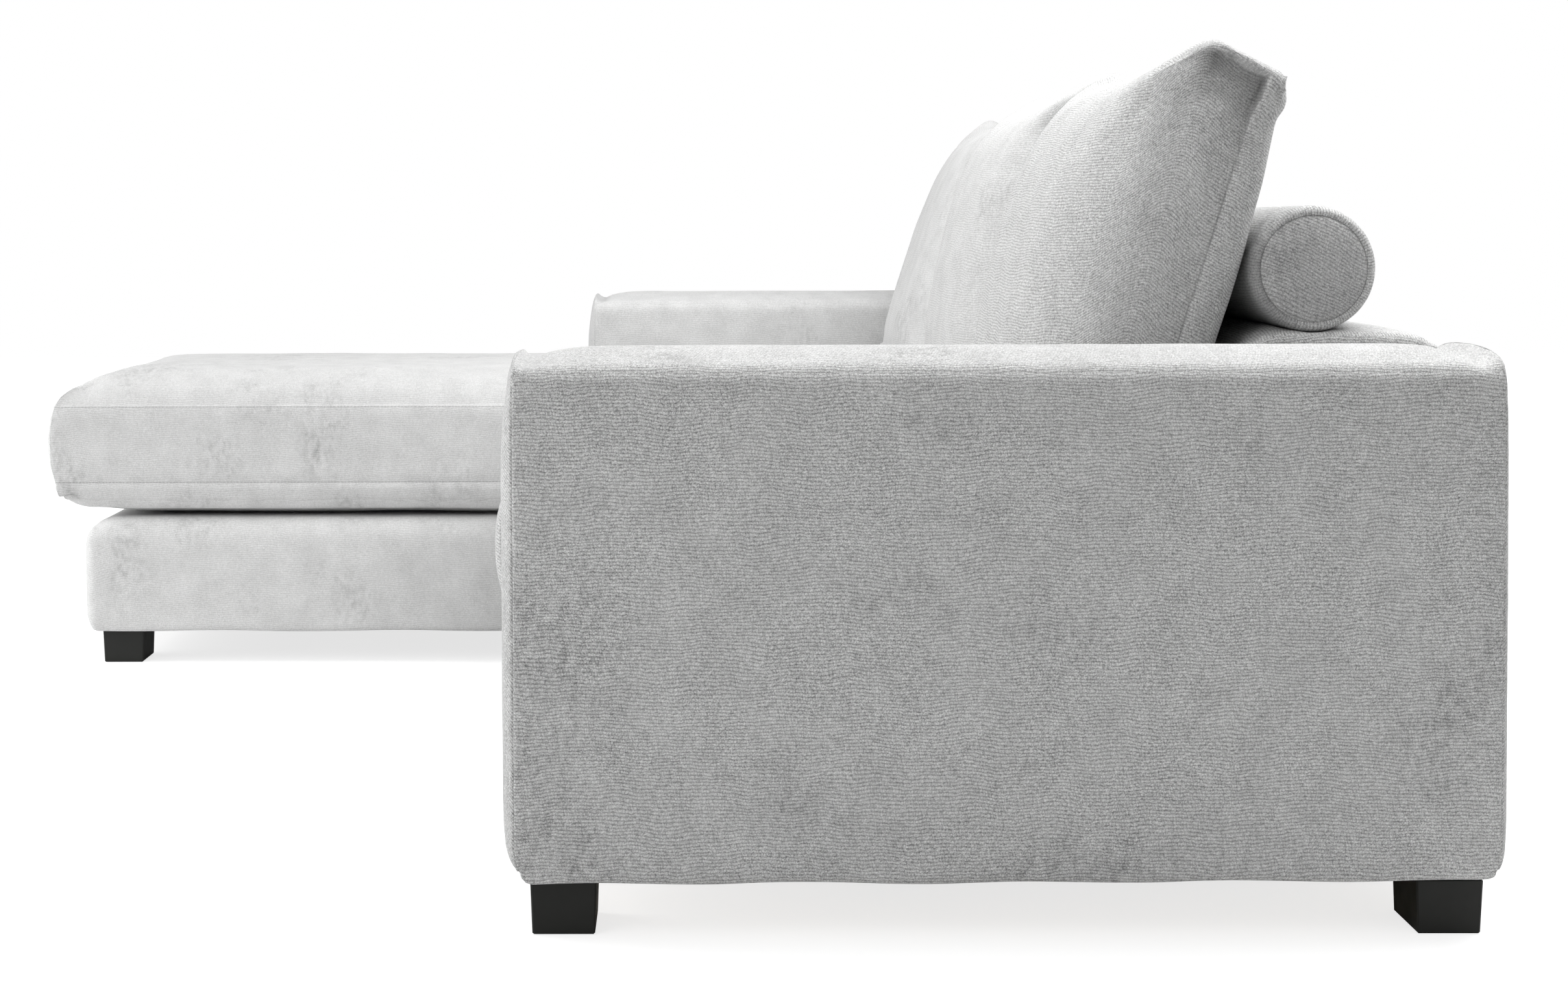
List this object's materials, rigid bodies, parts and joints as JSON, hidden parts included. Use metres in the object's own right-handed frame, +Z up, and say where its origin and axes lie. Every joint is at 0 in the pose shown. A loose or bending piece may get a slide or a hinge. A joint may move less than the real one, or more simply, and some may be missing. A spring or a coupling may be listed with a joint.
{
  "type": "chaise longue sofa",
  "caption": "L-shaped lounge sofa: box arms, low back with a bolster, loose seat and back cushions, long chaise seat, black block feet.",
  "frame": {"origin": "on the floor under the middle of the sofa's overall box", "axes": "+X towards the main seat's arm, along the sofa's width; the sofa faces -Y, where the chaise runs out at -X; +Z up"},
  "size_m": [2.24, 1.7853, 0.8679],
  "materials": {
    "chenille": "matte",
    "dust_cloth": "matte",
    "spring_steel": "satin",
    "plate_steel": "satin",
    "foot_black": "satin",
    "plywood": "matte",
    "timber": "matte"
  },
  "bodies": {
    "sofa_frame": {"near_arm_cover": "chenille", "near_arm_front_board": "plywood", "near_arm_rear_board": "plywood", "near_arm_top_board": "plywood", "near_arm_bottom_board": "plywood", "far_arm_cover": "chenille", "far_arm_front_board": "plywood", "far_arm_rear_board": "plywood", "far_arm_top_board": "plywood", "far_arm_bottom_board": "plywood", "main_back_cover": "chenille", "main_back_board": "plywood", "main_back_top_rail": "timber", "main_base_cover": "chenille", "main_front_rail": "timber", "main_rear_rail": "timber", "main_far_rail": "timber", "main_near_rail": "timber", "main_dust_cover": "dust_cloth", "main_spring_1": "spring_steel", "main_spring_2": "spring_steel", "main_spring_3": "spring_steel", "main_spring_4": "spring_steel", "main_spring_5": "spring_steel", "main_spring_6": "spring_steel", "chaise_back_cover": "chenille", "chaise_back_board": "plywood", "chaise_back_top_rail": "timber", "chaise_base_cover": "chenille", "chaise_front_rail": "timber", "chaise_rear_rail": "timber", "chaise_far_rail": "timber", "chaise_near_rail": "timber", "chaise_dust_cover": "dust_cloth", "chaise_spring_1": "spring_steel", "chaise_spring_2": "spring_steel", "chaise_spring_3": "spring_steel", "chaise_spring_4": "spring_steel", "chaise_spring_5": "spring_steel", "chaise_spring_6": "spring_steel", "near_arm_front_foot": "foot_black", "near_arm_rear_foot": "foot_black", "far_arm_front_foot": "foot_black", "far_arm_rear_foot": "foot_black", "main_inner_front_foot": "foot_black", "main_inner_rear_foot": "foot_black", "chaise_near_front_foot": "foot_black", "chaise_far_front_foot": "foot_black", "chaise_near_rear_foot": "foot_black", "front_joining_plate": "plate_steel", "rear_joining_plate": "plate_steel"},
    "near_seat_cushion": {"near_seat_cushion": "chenille"},
    "middle_seat_cushion": {"middle_seat_cushion": "chenille"},
    "chaise_seat_cushion": {"chaise_seat_cushion": "chenille"},
    "near_back_cushion": {"near_back_cushion": "chenille"},
    "middle_back_cushion": {"middle_back_cushion": "chenille"},
    "chaise_back_cushion": {"chaise_back_cushion": "chenille"},
    "main_bolster": {"main_bolster": "chenille"},
    "chaise_bolster": {"chaise_bolster": "chenille"}
  },
  "joints": [
    {"name": "near_seat_cushion_lift", "type": "slide", "parent": "sofa_frame", "child": "near_seat_cushion", "axis": [0, 0, 1], "range_m": [0, 0.35]},
    {"name": "near_back_cushion_lift", "type": "slide", "parent": "near_seat_cushion", "child": "near_back_cushion", "axis": [0, 0, 1], "range_m": [0, 0.3]},
    {"name": "middle_seat_cushion_lift", "type": "slide", "parent": "sofa_frame", "child": "middle_seat_cushion", "axis": [0, 0, 1], "range_m": [0, 0.35]},
    {"name": "middle_back_cushion_lift", "type": "slide", "parent": "middle_seat_cushion", "child": "middle_back_cushion", "axis": [0, 0, 1], "range_m": [0, 0.3]},
    {"name": "chaise_seat_cushion_lift", "type": "slide", "parent": "sofa_frame", "child": "chaise_seat_cushion", "axis": [0, 0, 1], "range_m": [0, 0.35]},
    {"name": "chaise_back_cushion_lift", "type": "slide", "parent": "chaise_seat_cushion", "child": "chaise_back_cushion", "axis": [0, 0, 1], "range_m": [0, 0.3]},
    {"name": "main_bolster_lift", "type": "slide", "parent": "sofa_frame", "child": "main_bolster", "axis": [0, 0.6, 0.8], "range_m": [0, 0.2]},
    {"name": "chaise_bolster_lift", "type": "slide", "parent": "sofa_frame", "child": "chaise_bolster", "axis": [0, 0.6, 0.8], "range_m": [0, 0.2]}
  ]
}
